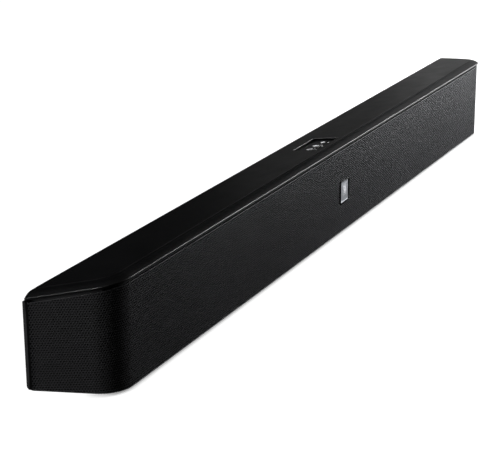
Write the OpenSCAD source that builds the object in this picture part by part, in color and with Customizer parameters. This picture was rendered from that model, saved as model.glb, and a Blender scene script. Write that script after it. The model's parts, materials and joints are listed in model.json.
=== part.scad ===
// Soundbar: a wedge-section cabinet with splayed, rounded ends and a wrap-round steel grille.
// Millimetres. +Z up, X along the bar, the grille faces -Y.
// The origin is at the bottom centre of the whole object, on the surface that the feet stand on.

/* [Cabinet] */
// Overall length, measured at the rear edge
bar_l = 930; // [900:1:960]
// Overall depth, front lip to rear wall
bar_d = 60; // [60:0.5:64]
// Height of the front of the top face above the cabinet's front bottom edge
bar_h = 90; // [88:0.5:94]
// How much shorter the front is than the rear, at each end
end_splay = 32; // [28:1:36]
// Radius of the two vertical front corners
corner_r = 33; // [30:1:36]
// How far the top falls from the front to the rear
top_drop = 9; // [7:0.5:10]
// How far the underside rises from the front to the rear
bottom_rise = 5.5; // [4:0.5:6]
// Radius along the rear bottom edge
rear_r = 5; // [3:0.5:6]
// Gap between the surface and the cabinet's front bottom edge
foot_gap = 1.5; // [1.5:0.1:3]
// Wall thickness of the moulded housing
wall = 2.5; // [2:0.1:3]

/* [Top cover] */
// Width of the sloping bevel round the front and the ends
bevel_w = 9.6; // [8:0.1:11]
// Rise of the bevel from the lip to the top face
bevel_h = 4.2; // [3.5:0.1:5]
// Bevel width along the rear edge
rear_bevel_w = 2.3; // [2:0.1:3]
// Height of the lip's upright edge
lip_h = 1.8; // [1.4:0.1:2.2]
// Thickness of the top face
cover_t = 2.5; // [2.2:0.1:3]

/* [Grille] */
// How far the grille stands back from the lip
grille_inset = 1; // [0.8:0.1:1.4]
// Thickness of the perforated steel
grille_t = 1; // [0.8:0.1:1.1]
// Shadow gap between the lip and the top of the grille
grille_gap = 2.3; // [1:0.1:2.5]

/* [Controls] */
// Middle of the control recess along the bar
panel_x = -9.4; // [-14:0.1:0]
// Middle of the control recess, back from the front of the bar
panel_back = 27.4; // [26:0.1:29]
// Length of the control recess
panel_l = 51.4; // [48:0.2:54]
// Depth of the control recess, front to rear
panel_w = 25.6; // [24:0.2:26]
// Spacing of the buttons
button_pitch = 15.2; // [14.8:0.1:15.6]
// Length of one button
button_l = 13.4; // [12:0.1:13.6]
// Width of one button
button_w = 13; // [12:0.1:14]
// Travel of a button
button_travel = 0.8; // [0.5:0.1:0.8]

/* [Badge] */
// Width and height of the blank badge plate
badge_s = 20.6; // [18:0.2:22]
// Height of the badge's middle above the cabinet's bottom edge
badge_z = 39.9; // [36:0.1:44]

/* [Drivers] */
// Woofer positions along the bar, each side of the middle
woofer_x = [212, 312];
// Tweeter position along the bar, each side of the middle
tweeter_x = 374; // [370:1:378]
// Excursion of a woofer cone each way
cone_travel = 2; // [1:0.1:2]
// Excursion of a tweeter dome each way
dome_travel = 0.3; // [0.1:0.1:0.3]

/* [Rear] */
// Length of the socket bay in the rear wall
bay_l = 150; // [140:1:160]
// Height of the socket bay
bay_h = 32; // [30:0.5:33]
// Depth of the socket bay
bay_depth = 15; // [14:0.5:15]
// Distance of each bass port from the middle
port_x = 172; // [170:1:174]
// Inner radius of a bass port
port_r = 12; // [11:0.5:13]
// Distance between the two wall-mount inserts
insert_pitch = 760; // [700:10:780]
// Inner radius of a wall-mount insert
insert_r = 2.1; // [2:0.1:2.5]

/* [Hidden] */

$fn = 48;
half_d = bar_d / 2;
half_l = bar_l / 2;
end_len = sqrt(end_splay * end_splay + bar_d * bar_d);
end_n = [bar_d / end_len, -end_splay / end_len];
corner_x = half_l - end_splay - corner_r * (end_len - end_splay) / bar_d;
corner_y = -half_d + corner_r;
top_slope = top_drop / bar_d;
top_tilt = atan(top_slope);
floor_slope = bottom_rise / bar_d;
floor_tilt = atan(floor_slope);
big = 2 * bar_l;
eps = 0.02;

// Heights above the standing surface at a depth y, with y = 0 in the middle of the bar.
function top_z(y, down = 0) = foot_gap + bar_h - down - top_slope * (y + half_d);
function floor_z(y, up = 0) = foot_gap + up + floor_slope * (y + half_d);
// x of the end face at depth y, drawn in by inset.
function end_x(y, inset) = half_l - end_splay + (y + half_d) * end_splay / bar_d - inset * end_len / bar_d;

// Depth below the top face of the lip's underside.
lip_under = bevel_h + lip_h;
baffle_front = -half_d + 8;
baffle_t = 4;
baffle_back = baffle_front + baffle_t;
rear_in = half_d - wall;
// How far the housing's walls stand in behind the grille and its cloth.
tub_inset = 3.4;
cloth_t = 0.4;
// Depth of the housing's flange, which covers the grille's rear edge.
rear_flange = 1.5;
// Clearance between parts that would otherwise share a face.
slip = 0.1;

// ---- shared outlines -------------------------------------------------------------------------

// Plan of the cabinet drawn in by inset at the front and ends, and by rear at the back.
module plan(inset, rear) {
  r = corner_r - inset;
  front = -half_d + inset;
  yr = half_d - rear;
  t = [corner_x + end_n[0] * r, corner_y + end_n[1] * r];
  e = [end_x(yr, inset), yr];
  tip = [end_x(front, inset), front];
  polygon([[-corner_x, front], [corner_x, front], t, e, [-e[0], e[1]], [-t[0], t[1]]]);
  for (s = [0, 1]) mirror([s, 0]) intersection() {
    translate([corner_x, corner_y]) circle(r, $fn = 96);
    polygon([[corner_x - 1, corner_y], [corner_x - 1, front], [corner_x, front], tip, t]);
  }
}

// A block along the whole bar between two sloping planes.
module between(bottom_up, top_down) {
  c = [half_d - rear_r, floor_z(half_d - rear_r, bottom_up) + rear_r / cos(floor_tilt)];
  t = [c[0] + rear_r * sin(floor_tilt), c[1] - rear_r * cos(floor_tilt)];
  rotate([90, 0, 90]) translate([0, 0, -big / 2]) linear_extrude(big) union() {
    polygon([
      [-bar_d, floor_z(-bar_d, bottom_up)], t, [half_d, c[1]], [half_d, top_z(half_d, top_down)],
      [-bar_d, top_z(-bar_d, top_down)]
    ]);
    translate(c) circle(rear_r);
  }
}

// A thin sloping slab parallel to the top face, from down_a to down_b below it.
module top_slab(down_a, down_b) {
  rotate([90, 0, 90]) translate([0, 0, -big / 2]) linear_extrude(big) polygon([
    [-bar_d, top_z(-bar_d, down_b)], [bar_d, top_z(bar_d, down_b)],
    [bar_d, top_z(bar_d, down_a)], [-bar_d, top_z(-bar_d, down_a)]
  ]);
}

// The cabinet's body drawn in on every side.
module body_block(inset, rear, bottom_up, top_down) {
  intersection() {
    linear_extrude(2 * bar_h) plan(inset, rear);
    between(bottom_up, top_down);
  }
}

// A slab across the bar between two x values.
module x_slab(x0, x1) {
  translate([x0, -bar_d, -bar_h]) cube([x1 - x0, 2 * bar_d, 4 * bar_h]);
}

// A slab along the bar between two depths.
module y_slab(y0, y1) {
  translate([-bar_l, y0, -bar_h]) cube([2 * bar_l, y1 - y0, 4 * bar_h]);
}

// A round rod along Y from y0 to y1.
module rod_y(x, z, y0, y1, r) {
  translate([x, y1, z]) rotate([90, 0, 0]) cylinder(h = y1 - y0, r = r);
}

// The frame of the top face: +Z along its normal, the origin on it, at the recess's middle.
module on_top() {
  y = -half_d + panel_back;
  translate([panel_x, y, top_z(y)]) rotate([-top_tilt, 0, 0]) children();
}

// A rectangle with round corners, centred.
module round_rect(l, w, r) {
  square([l - 2 * r, w], center = true);
  square([l, w - 2 * r], center = true);
  for (x = [-1, 1], y = [-1, 1]) translate([x * (l / 2 - r), y * (w / 2 - r)]) circle(r);
}

// The two sides of any mirrored pattern: -1 is left, 1 is right.
sides = [-1, 1];

// ---- casing ----------------------------------------------------------------------------------

cover_screw_x = [-440, -264, -88, 88, 264, 440];
cover_screw_down = 13;
cover_screw_z = top_z(half_d, cover_screw_down);
thread_r = 1.4;
pilot_r = 1.45;
clear_r = 1.7;
screw_len = 9;
screw_head_r = 2.8;
screw_head_h = 1.8;
flange_t = 1.5;
foot_x = 380;
foot_y = [-14, 15];
foot_r = 8;
foot_h = foot_gap + bottom_rise + 1;
bay_z = 30;
bay_r = 3;
bay_floor_y = half_d - bay_depth;
port_z = 44;
insert_z = 46;
insert_len = 9;
insert_outer = 3.4;
bulkhead_x = 152;
bulkhead_t = 3;
lead_hole_r = 3;
lead_hole_y = 20;
lead_hole_z = 14;
board_z = 13;
board_t = 1.6;
standoff_r = 3;
standoffs = [for (s = sides, x = [24, 136], y = [-12, 10]) [s * x, y]];
baffle_screw_x = [48, 100, 262, 400];
baffle_screw_inset = 6.5;
rail_z = 75.5;
rail_w = 7;
rail_notch = 7;
sleeve_r = 3.2;

module bay_ring(outer) {
  translate([0, half_d, bay_z]) rotate([90, 0, 0]) translate([0, 0, -1])
    linear_extrude(bay_depth + panel_t + 1) round_rect(bay_l + 2 * outer, bay_h + 2 * outer, bay_r + outer);
}

module rear_housing() {
  color([0.05, 0.05, 0.055]) difference() {
    union() {
      intersection() {
        body_block(grille_inset + grille_t, 0, 0, lip_under);
        y_slab(rear_in, half_d);
      }
      intersection() {
        body_block(0, 0, 0, lip_under);
        y_slab(half_d - rear_flange, half_d);
      }
      front_rail();
      difference() {
        body_block(tub_inset, 0, 0, lip_under);
        body_block(tub_inset + wall, wall, wall, -1);
        y_slab(-bar_d, baffle_back);
      }
      intersection() {
        bay_ring(wall);
        y_slab(bay_floor_y - panel_t, half_d);
      }
      for (p = standoffs) intersection() {
        translate([p[0], p[1], 0]) cylinder(h = board_z, r = standoff_r);
        body_block(tub_inset + 1, 1, 1, 0);
      }
      for (s = sides) {
        rod_y(s * insert_pitch / 2, insert_z, half_d - insert_len - 1.5, half_d - 1, insert_outer + 2.4);
        rod_y(s * port_x, port_z, rear_in - 3, half_d - 1, port_r + 4);
      }
      for (x = cover_screw_x) rod_y(x, cover_screw_z, rear_in - 2, half_d - 1, screw_head_r + 1.5);
      for (s = sides, x = baffle_screw_x) intersection() {
        rod_y(s * x, baffle_screw_inset + foot_gap, baffle_back, baffle_back + 10, sleeve_r);
        body_block(tub_inset, 0, 0, 0);
      }
    }
    bay_ring(0);
    for (p = standoffs) translate([p[0], p[1], board_z - 7]) cylinder(h = 8, r = pilot_r);
    for (p = baffle_screw_spots) rod_y(p[0], p[1], -half_d, baffle_back + 6, pilot_r);
    for (s = sides) {
      rod_y(s * insert_pitch / 2, insert_z, half_d - insert_len, half_d + 1, insert_outer);
      rod_y(s * port_x, port_z, -half_d, half_d + 1, port_r + 1.5);
      rod_y(s * port_x, port_z, half_d - 2, half_d + 1, port_r + 4.5);
    }
    for (x = cover_screw_x) {
      rod_y(x, cover_screw_z, 0, half_d + 1, clear_r);
      rod_y(x, cover_screw_z, half_d - screw_head_h - 0.4, half_d + 1, screw_head_r + 0.4);
    }
  }
}

// The beam that joins the ends along the top front edge, notched round the control board.
module front_rail() {
  difference() {
    intersection() {
      body_block(tub_inset, 0, 0, lip_under);
      translate([-bar_l, baffle_back, rail_z]) cube([2 * bar_l, rail_w, bar_h]);
    }
    x_slab(panel_x - panel_l / 2 - rail_notch, panel_x + panel_l / 2 + rail_notch);
  }
}

module top_cover() {
  color([0.05, 0.05, 0.055]) difference() {
    union() {
      difference() {
        hull() {
          cover_level(0, 0, bevel_h, lip_h);
          cover_level(0.22 * bevel_w, 0, 0.61 * bevel_h, slip);
          cover_level(0.47 * bevel_w, 0, 0.28 * bevel_h, slip);
          cover_level(bevel_w, rear_bevel_w, 0, slip);
        }
        intersection() {
          linear_extrude(2 * bar_h) plan(bevel_w - 2.4, wall + 0.8);
          top_slab(cover_t, 20);
        }
      }
      for (x = cover_screw_x) cover_boss(x);
    }
    on_top() linear_extrude(20, center = true) round_rect(panel_l, panel_w, 1);
    for (x = cover_screw_x) rod_y(x, cover_screw_z, rear_in - 13, rear_in - 1, pilot_r);
  }
}

// One level of the cover's convex bevel: the plan, drawn in, from down to down + thick below the top.
module cover_level(inset, rear, down, thick) {
  intersection() {
    linear_extrude(2 * bar_h) plan(inset, rear);
    top_slab(down, down + thick);
  }
}

// A screw post that hangs under the cover, just inside the rear wall.
module cover_boss(x) {
  intersection() {
    translate([x - 4, rear_in - 12.2, cover_screw_z - 4]) cube([8, 10, 60]);
    top_slab(cover_t - eps, cover_screw_down + 4);
  }
}

module front_baffle() {
  color([0.09, 0.09, 0.09]) difference() {
    union() {
      intersection() {
        body_block(tub_inset, 0, 0, lip_under);
        y_slab(baffle_front, baffle_back);
      }
      difference() {
        intersection() {
          body_block(grille_inset + grille_t + cloth_t + slip, 0, 0, lip_under);
          y_slab(-half_d, baffle_front + 1);
        }
        body_block(0, 0, ledge_t, lip_under + ledge_t);
      }
    }
    for (s = sides, x = woofer_x) rod_y(s * x, driver_z, -half_d, 0, woofer_hole_r);
    for (s = sides) rod_y(s * tweeter_x, driver_z, -half_d, 0, tweeter_hole_r);
    for (p = driver_screw_spots) rod_y(p[0], p[1], -half_d, 0, pilot_r);
    for (p = baffle_screw_spots) rod_y(p[0], p[1], -half_d, 0, clear_r);
    rod_y(0, badge_z + foot_gap, -half_d, 0, 1.6);
  }
}

ledge_t = 2;

// A sheet that runs along the front and round both ends, rear short of the rear face.
module wrap(inset, rear, thick, bottom_up, top_down) {
  intersection() {
    linear_extrude(2 * bar_h) difference() {
      plan(inset, rear);
      plan(inset + thick, -1);
    }
    between(bottom_up, top_down);
  }
}

module grille() {
  color([0.13, 0.13, 0.14]) difference() {
    wrap(grille_inset, rear_flange, grille_t, 0, lip_under + grille_gap);
    badge_hole(badge_s + 2 * badge_rim, 2);
  }
}

module grille_cloth() {
  color([0.03, 0.03, 0.03]) difference() {
    wrap(grille_inset + grille_t + eps, wall, cloth_t, 0.6, lip_under + grille_gap + 0.6);
    rod_y(0, badge_z + foot_gap, -half_d, 0, 2);
  }
}

badge_rim = 1.2;

module badge_hole(s, r) {
  translate([0, -half_d - 1, badge_z + foot_gap]) rotate([-90, 0, 0])
    linear_extrude(1 + grille_inset + grille_t) round_rect(s, s, r);
}

module badge_frame() {
  color([0.02, 0.02, 0.02]) translate([0, -half_d, badge_z + foot_gap]) rotate([-90, 0, 0]) {
    difference() {
      translate([0, 0, grille_inset - 0.2]) linear_extrude(grille_t + 0.2)
        round_rect(badge_s + 2 * badge_rim, badge_s + 2 * badge_rim, 2);
      translate([0, 0, -1]) linear_extrude(grille_inset + 1.3)
        round_rect(badge_s + 2 * slip, badge_s + 2 * slip, 1.1);
    }
    translate([0, 0, grille_inset + grille_t - eps]) cylinder(h = 8.5, r = 1.5);
  }
}

module badge_plate() {
  color([0.62, 0.63, 0.65]) translate([0, -half_d, badge_z + foot_gap]) rotate([-90, 0, 0])
    translate([0, 0, grille_inset - 0.5]) linear_extrude(0.8) round_rect(badge_s, badge_s, 1);
}

module bulkhead(s) {
  color([0.1, 0.1, 0.1]) difference() {
    intersection() {
      body_block(tub_inset + wall, wall, wall, lip_under);
      x_slab(s * bulkhead_x - bulkhead_t / 2, s * bulkhead_x + bulkhead_t / 2);
      y_slab(baffle_back, rear_in);
    }
    translate([s * bulkhead_x, lead_hole_y, lead_hole_z + foot_gap]) rotate([0, 90, 0])
      cylinder(h = 10, r = lead_hole_r, center = true);
    translate([s * bulkhead_x - 5, baffle_back - 1, rail_z - slip]) cube([10, rail_w + 1 + slip, bar_h]);
  }
}

// ---- controls --------------------------------------------------------------------------------

module control_panel() {
  color([0.04, 0.04, 0.045]) on_top() difference() {
    translate([0, 0, -cover_t - 1.4]) linear_extrude(1.4) round_rect(panel_l + 5, panel_w + 4, 2);
    for (i = [-1, 0, 1]) {
      translate([i * button_pitch, button_y, -10]) linear_extrude(10)
        round_rect(button_l + 0.5, button_w + 0.5, 1.4);
      translate([i * button_pitch, light_y, -10]) cylinder(h = 10, r = light_r, $fn = 24);
    }
  }
  color([0.04, 0.04, 0.045]) on_top() for (s = sides) translate([s * post_x, light_y, 0]) {
    translate([0, 0, -board_down]) cylinder(h = board_down - cover_t - 1.3, r = 2);
    translate([0, 0, -board_down - 1.8]) cylinder(h = 3, r = 1);
  }
}
button_y = 2.4;
post_x = panel_l / 2 - 2;
light_y = -6.5;
light_r = 0.8;
key_flange = 0.7;
board_down = 9;
switch_h = 2;
stem_end = board_down - switch_h - button_travel - slip;

// One key: a cap through the panel, a flange under it and a stem down to its switch.
module button(i) {
  color([0.05, 0.05, 0.055]) on_top() translate([i * button_pitch, button_y, 0]) {
    translate([0, 0, -cover_t - 2.2]) linear_extrude(2.2 + 0.7) round_rect(button_l, button_w, 1.2);
    translate([0, 0, -cover_t - 2.2]) linear_extrude(0.7)
      round_rect(button_l + 1.2, button_w + 2, 1.4);
    translate([0, 0, -stem_end]) cylinder(h = stem_end - cover_t - 1.6, r = 1.6);
  }
}

module button_light_pipes() {
  color([0.85, 0.87, 0.9]) for (i = [-1, 0, 1]) on_top() translate([i * button_pitch, light_y, -board_down])
    cylinder(h = board_down - cover_t, r = light_r, $fn = 24);
}

module control_board() {
  color([0.05, 0.2, 0.1]) on_top() difference() {
    translate([0, 0, -board_down - 1.2]) linear_extrude(1.2) round_rect(panel_l + 2, panel_w, 1);
    for (s = sides) translate([s * post_x, light_y, -20]) cylinder(h = 20, r = 1);
  }
}

module tact_switches() {
  color([0.2, 0.2, 0.2]) for (i = [-1, 0, 1]) on_top() translate([i * button_pitch, button_y, -board_down])
    translate([-3, -3, 0]) cube([6, 6, switch_h]);
}

// ---- loudspeakers ----------------------------------------------------------------------------

driver_z = 44;
woofer_hole_r = 28.2;
tweeter_hole_r = 13;
woofer_ear = 26;
tweeter_ear = 12.5;
driver_screw_spots = concat(
  [for (s = sides, x = woofer_x, a = sides, b = sides) [s * x + a * woofer_ear, driver_z + b * woofer_ear]],
  [for (s = sides, a = sides, b = sides) [s * tweeter_x + a * tweeter_ear, driver_z + b * tweeter_ear]]
);
baffle_screw_spots = [
  for (s = sides, x = baffle_screw_x, z = [baffle_screw_inset, bar_h - lip_under - baffle_screw_inset])
    [s * x, z + foot_gap]
];

// A driver's own frame: +Z forward out of the baffle, the origin on the baffle's front.
module driver_at(x) {
  translate([x, baffle_front, driver_z]) rotate([90, 0, 0]) children();
}

function woofer_at(i) = [-woofer_x[1], -woofer_x[0], woofer_x[0], woofer_x[1]][i - 1];

module woofer_basket(i) {
  color([0.1, 0.1, 0.1]) driver_at(woofer_at(i)) difference() {
    union() {
      difference() {
        linear_extrude(flange_t) round_rect(62, 62, 8);
        translate([0, 0, -1]) cylinder(h = 4, r = 27);
        for (a = sides, b = sides) translate([a * woofer_ear, b * woofer_ear, -1])
          cylinder(h = 4, r = clear_r);
      }
      rotate_extrude($fn = 72) polygon([
        [27, 0.4], [28, 0.4], [28, -6], [19.5, -17.4], [19.5, -19.4], [9.6, -19.4], [9.6, -17.9],
        [18.4, -17.9], [18.4, -17], [27, -5.4]
      ]);
    }
    for (a = [0 : 3]) rotate([0, 0, 45 + 90 * a]) translate([14, -9, -15.5]) cube([20, 18, 9]);
  }
}

module woofer_magnet(i) {
  color([0.25, 0.25, 0.26]) driver_at(woofer_at(i)) rotate_extrude($fn = 64) polygon([
    [0, -32], [19, -32], [19.6, -31.4], [19.6, -29], [21, -28.6], [21, -22.4], [19, -22], [19, -19.4],
    [8.8, -19.4], [8.8, -29], [6.9, -29], [6.9, -18.6], [0, -18.6]
  ]);
}

// Depth of the voice coils' rear ends, long enough to stay in their gaps over the whole travel.
coil_end = 21 + cone_travel;
dome_coil_end = 7.7 + dome_travel;

module woofer_cone(i) {
  color([0.06, 0.06, 0.06]) driver_at(woofer_at(i)) rotate_extrude($fn = 72) polygon(concat(
    [[22.6, 1.2], [22.6, 0.6], [8.2, -10.2], [8.2, -coil_end], [7.5, -coil_end], [7.5, -10.4], [0, -5.4]],
    [[0, -4.8]],
    [for (a = [80 : -20 : 20]) [8.6 * cos(a), -9.6 + 4.8 * sin(a)]],
    [[8.7, -9.1], [21.9, 1.2]]
  ));
}

module woofer_surround(i) {
  color([0.04, 0.04, 0.04]) driver_at(woofer_at(i)) rotate_extrude($fn = 72) difference() {
    union() {
      translate([24.95, 1.5]) circle(2.05, $fn = 32);
      translate([27, 1.5]) square([1.4, 0.5]);
    }
    translate([24.95, 1.5]) circle(1.55, $fn = 32);
    translate([20, -2]) square([10, 3.5]);
  }
}

module woofer_spiders() {
  color([0.55, 0.4, 0.2]) for (i = [1 : 4]) driver_at(woofer_at(i)) rotate_extrude($fn = 64)
    polygon(concat(
      [for (k = [0 : 8]) [8.6 + k * 1.2, -17.1 + (k % 2) * 0.9]],
      [[18.36, -17], [18.36, -17.4]],
      [for (k = [8 : -1 : 0]) [8.6 + k * 1.2, -17.5 + (k % 2) * 0.9]]
    ));
}

module tweeter_plate(s) {
  color([0.08, 0.08, 0.08]) driver_at(s * tweeter_x) difference() {
    union() {
      linear_extrude(flange_t) round_rect(33, 33, 7);
      translate([0, 0, -4]) cylinder(h = 4 + eps, r = 12.6);
    }
    rotate_extrude() polygon([[0, -5], [10.4, -5], [10.4, 0], [12.4, 2], [0, 2]]);
    for (a = sides, b = sides) translate([a * tweeter_ear, b * tweeter_ear, -1])
      cylinder(h = 4, r = clear_r);
  }
}

module tweeter_dome(s) {
  color([0.1, 0.1, 0.12]) driver_at(s * tweeter_x) rotate_extrude() polygon(concat(
    [[9.6, -1.4], [9.6, -1.8], [8, -1.8], [8, -dome_coil_end], [7.5, -dome_coil_end], [7.5, -1.4]],
    [[0, 1.6], [0, 2.1]],
    [for (a = [75 : -15 : 15]) [8 * cos(a), -1.4 + 3.5 * sin(a)]],
    [[8, -1.4]]
  ));
}

module tweeter_magnet(s) {
  color([0.25, 0.25, 0.26]) driver_at(s * tweeter_x) rotate_extrude() polygon([
    [0, -18], [11, -18], [11, -4], [8.6, -4], [8.6, -15], [6.9, -15], [6.9, -4.6], [0, -4.6]
  ]);
}

module bass_port(s) {
  color([0.05, 0.05, 0.05]) translate([s * port_x, half_d, port_z]) rotate([90, 0, 0])
    rotate_extrude($fn = 64) polygon([
      [port_r + 3, 0.4], [port_r + 4.4, 0.4], [port_r + 4.4, 2], [port_r + 1.4, 2], [port_r + 1.4, 30],
      [port_r, 30], [port_r, 4.5], [port_r + 0.6, 2.2], [port_r + 1.7, 0.9]
    ]);
}

module wadding(s) {
  color([0.8, 0.8, 0.78]) intersection() {
    translate([s * wadding_x - wadding_l / 2, 7, 12]) cube([wadding_l, 20, 50]);
    body_block(tub_inset + wall + 0.5, wall + 0.5, wall + 0.5, lip_under + 1);
  }
}

wadding_x = 255;
wadding_l = 42;

// ---- speaker leads ---------------------------------------------------------------------------

lead_r = 1.4;
lead_sides = 8;
// From the amplifier to the right bulkhead.
lead_start_right = [
  [108.5, 11.05, 20], [108.5, 14, 19.5], [110, 17, 18], [114, 19.3, 16.5], [122, 20, 15.7],
  [132, 20, 15.5], [146, 20, 15.5]
];
// From the amplifier over the boards to the left bulkhead.
lead_start_left = [
  [106.5, 7.5, 23.7], [106, 7.5, 30], [102, 6, 41], [92, 3, 49], [76, 1, 52.5], [40, 0, 54],
  [-20, 0, 54], [-70, 0, 53], [-98, 2, 50], [-116, 6, 43.5], [-128, 11, 34], [-135, 16, 24.5],
  [-139.5, 19, 18], [-143, 20, 15.8], [-147, 20, 15.5]
];
// From a bulkhead to the outer woofer's terminal, as it runs on the right.
lead_end = [
  [160, 20, 15.5],
  [174, 20, 15.5], [190, 20, 14.5], [206, 20, 12], [222, 20, 10.5], [240, 19, 10.3], [258, 19, 10.3],
  [276, 19, 10.5], [286, 19, 13], [288, 18, 18], [288, 17, 24], [288, 15.5, 29], [289, 14, 33],
  [290.5, 12, 36]
];
function unit(v) = v / norm(v);
function along(p, i) = unit(p[min(i + 1, len(p) - 1)] - p[max(i - 1, 0)]);
function ring_side(t) = unit(cross(t, [0.13, 0.2, 1]));

// A tube swept through the points p.
module tube(p) {
  n = len(p);
  rings = [
    for (i = [0 : n - 1]) let (t = along(p, i), u = ring_side(t), w = cross(t, u))
      for (k = [0 : lead_sides - 1]) let (a = k * 360 / lead_sides)
        p[i] + lead_r * (cos(a) * u + sin(a) * w)
  ];
  walls = [
    for (i = [0 : n - 2], k = [0 : lead_sides - 1]) let (m = (k + 1) % lead_sides)
      [i * lead_sides + k, (i + 1) * lead_sides + k, (i + 1) * lead_sides + m, i * lead_sides + m]
  ];
  ends = [
    [for (k = [0 : lead_sides - 1]) k],
    [for (k = [lead_sides - 1 : -1 : 0]) (n - 1) * lead_sides + k]
  ];
  polyhedron(rings, concat(walls, ends));
}

module speaker_lead(s) {
  color([0.5, 0.05, 0.05])
    tube(concat(s > 0 ? lead_start_right : lead_start_left, [for (p = lead_end) [s * p[0], p[1], p[2]]]));
}

// ---- electronics -----------------------------------------------------------------------------

module board(s) {
  difference() {
    translate([s > 0 ? 18 : -142, -16, board_z]) cube([124, 29, board_t]);
    for (p = standoffs) translate([p[0], p[1], board_z - 1]) cylinder(h = 4, r = clear_r);
  }
}

module amp_board() {
  color([0.05, 0.25, 0.12]) {
    board(1);
    translate([30, -6, board_z + board_t - eps]) cube([14, 14, 1.6]);
    translate([104, 4, board_z + board_t - eps]) cube([9, 7, 9]);
    for (x = [52 : 8 : 92]) translate([x, 8, board_z + board_t - eps]) cylinder(h = 7, r = 2.6);
  }
}

module heat_sink() {
  color([0.6, 0.6, 0.62]) translate([50, -8, board_z + board_t]) {
    cube([46, 10, 2]);
    for (i = [0 : 7]) translate([i * 6.2, 0, 2 - eps]) cube([2.6, 10, 16]);
  }
}

module power_board() {
  color([0.05, 0.2, 0.25]) {
    board(-1);
    translate([-38, -10, board_z + board_t - eps]) cube([12, 16, 12]);
    translate([-60, -10, board_z + board_t - eps]) cube([6, 18, 8]);
  }
}

module transformer() {
  color([0.75, 0.65, 0.2]) translate([-96, -13, board_z + board_t]) {
    translate([0, 5, 0]) cube([28, 14, 24]);
    translate([5, 0, 5]) cube([18, 24, 14]);
  }
}

module capacitors() {
  color([0.1, 0.1, 0.3]) for (x = [-118, -105], y = [-6, 7])
    translate([x, y, board_z + board_t]) cylinder(h = 20, r = 5.5);
}

inlet_x = -56;
phono_x = [8, 24];
mini_x = 42;
optical_x = 58;
panel_t = 1.2;

module jack_panel() {
  color([0.08, 0.08, 0.09]) difference() {
    translate([0, bay_floor_y, bay_z]) rotate([90, 0, 0])
      linear_extrude(panel_t) round_rect(bay_l, bay_h, bay_r);
    translate([inlet_x, 0, bay_z]) rotate([90, 0, 0]) linear_extrude(60, center = true)
      round_rect(23, 14, 4);
    for (x = phono_x) rod_y(x, bay_z, 0, half_d, 4.4);
    rod_y(mini_x, bay_z, 0, half_d, 3.2);
    translate([optical_x, 0, bay_z]) rotate([90, 0, 0]) linear_extrude(60, center = true)
      square([11, 11], center = true);
  }
}

module mains_inlet() {
  color([0.03, 0.03, 0.03]) translate([inlet_x, bay_floor_y, bay_z]) rotate([-90, 0, 0]) {
    difference() {
      union() {
        linear_extrude(1.6) round_rect(27, 18, 5);
        translate([0, 0, -14]) linear_extrude(15) round_rect(22.6, 13.6, 4);
      }
      translate([0, 0, -9]) linear_extrude(12) round_rect(17, 9, 4);
    }
    for (s = sides) translate([s * 4.3, 0, -9 - eps]) cylinder(h = 8.5, r = 1.15, $fn = 24);
  }
}

module phono_sockets() {
  color([0.7, 0.7, 0.7]) for (x = phono_x) translate([x, bay_floor_y, bay_z]) rotate([-90, 0, 0])
    difference() {
      union() {
        cylinder(h = 8.5, r = 4.1);
        cylinder(h = 1.4, r = 6);
        translate([0, 0, -10]) cylinder(h = 10 + eps, r = 4.1);
      }
      translate([0, 0, -2]) cylinder(h = 12, r = 1.65);
    }
}

module mini_socket() {
  color([0.1, 0.3, 0.15]) translate([mini_x, bay_floor_y, bay_z]) rotate([-90, 0, 0]) difference() {
    union() {
      cylinder(h = 1.6, r = 4);
      translate([0, 0, -12]) cylinder(h = 12 + eps, r = 3);
    }
    translate([0, 0, -11]) cylinder(h = 14, r = 1.8);
  }
}

module optical_socket() {
  color([0.06, 0.06, 0.06]) translate([optical_x, bay_floor_y, bay_z]) rotate([-90, 0, 0]) difference() {
    union() {
      translate([-6.5, -6.5, 0]) cube([13, 13, 1.6]);
      translate([-5.3, -5.3, -11]) cube([10.6, 10.6, 11 + eps]);
    }
    translate([-3.8, -3.8, -8]) cube([7.6, 7.6, 12]);
  }
}

module wall_inserts() {
  color([0.75, 0.6, 0.25]) for (s = sides) difference() {
    rod_y(s * insert_pitch / 2, insert_z, half_d - insert_len, half_d - 0.4, insert_outer);
    rod_y(s * insert_pitch / 2, insert_z, half_d - insert_len + 1, half_d, insert_r);
  }
}

module feet() {
  color([0.03, 0.03, 0.03]) for (s = sides, y = foot_y) difference() {
    translate([s * foot_x, y, 0]) cylinder(h = foot_h, r = foot_r);
    between(0, 0);
  }
}

// ---- fasteners -------------------------------------------------------------------------------

// A pan-head screw along -Z with its head on z = 0 and a cross in it.
module screw(len, r) {
  difference() {
    cylinder(h = screw_head_h, r = screw_head_r, $fn = 24);
    for (a = [0, 90]) rotate([0, 0, a]) translate([-1.6, -0.35, 0.9]) cube([3.2, 0.7, 2]);
  }
  translate([0, 0, -len]) cylinder(h = len + eps, r = r, $fn = 16);
}

// The same screw holds the drivers to the baffle and the baffle to the housing.
module baffle_screws() {
  color([0.3, 0.3, 0.3]) {
    for (p = driver_screw_spots) translate([p[0], baffle_front - flange_t, p[1]]) rotate([90, 0, 0])
      screw(screw_len, thread_r);
    for (p = baffle_screw_spots) translate([p[0], baffle_front, p[1]]) rotate([90, 0, 0])
      screw(screw_len, thread_r);
  }
}

module cover_screws() {
  color([0.3, 0.3, 0.3]) for (x = cover_screw_x)
    translate([x, half_d - screw_head_h - 0.4, cover_screw_z]) rotate([-90, 0, 0])
      screw(screw_len, thread_r);
}

module board_screws() {
  color([0.6, 0.6, 0.6]) for (p = standoffs)
    translate([p[0], p[1], board_z + board_t]) screw(6, thread_r);
}

// ---- what is drawn ---------------------------------------------------------------------------

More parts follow.
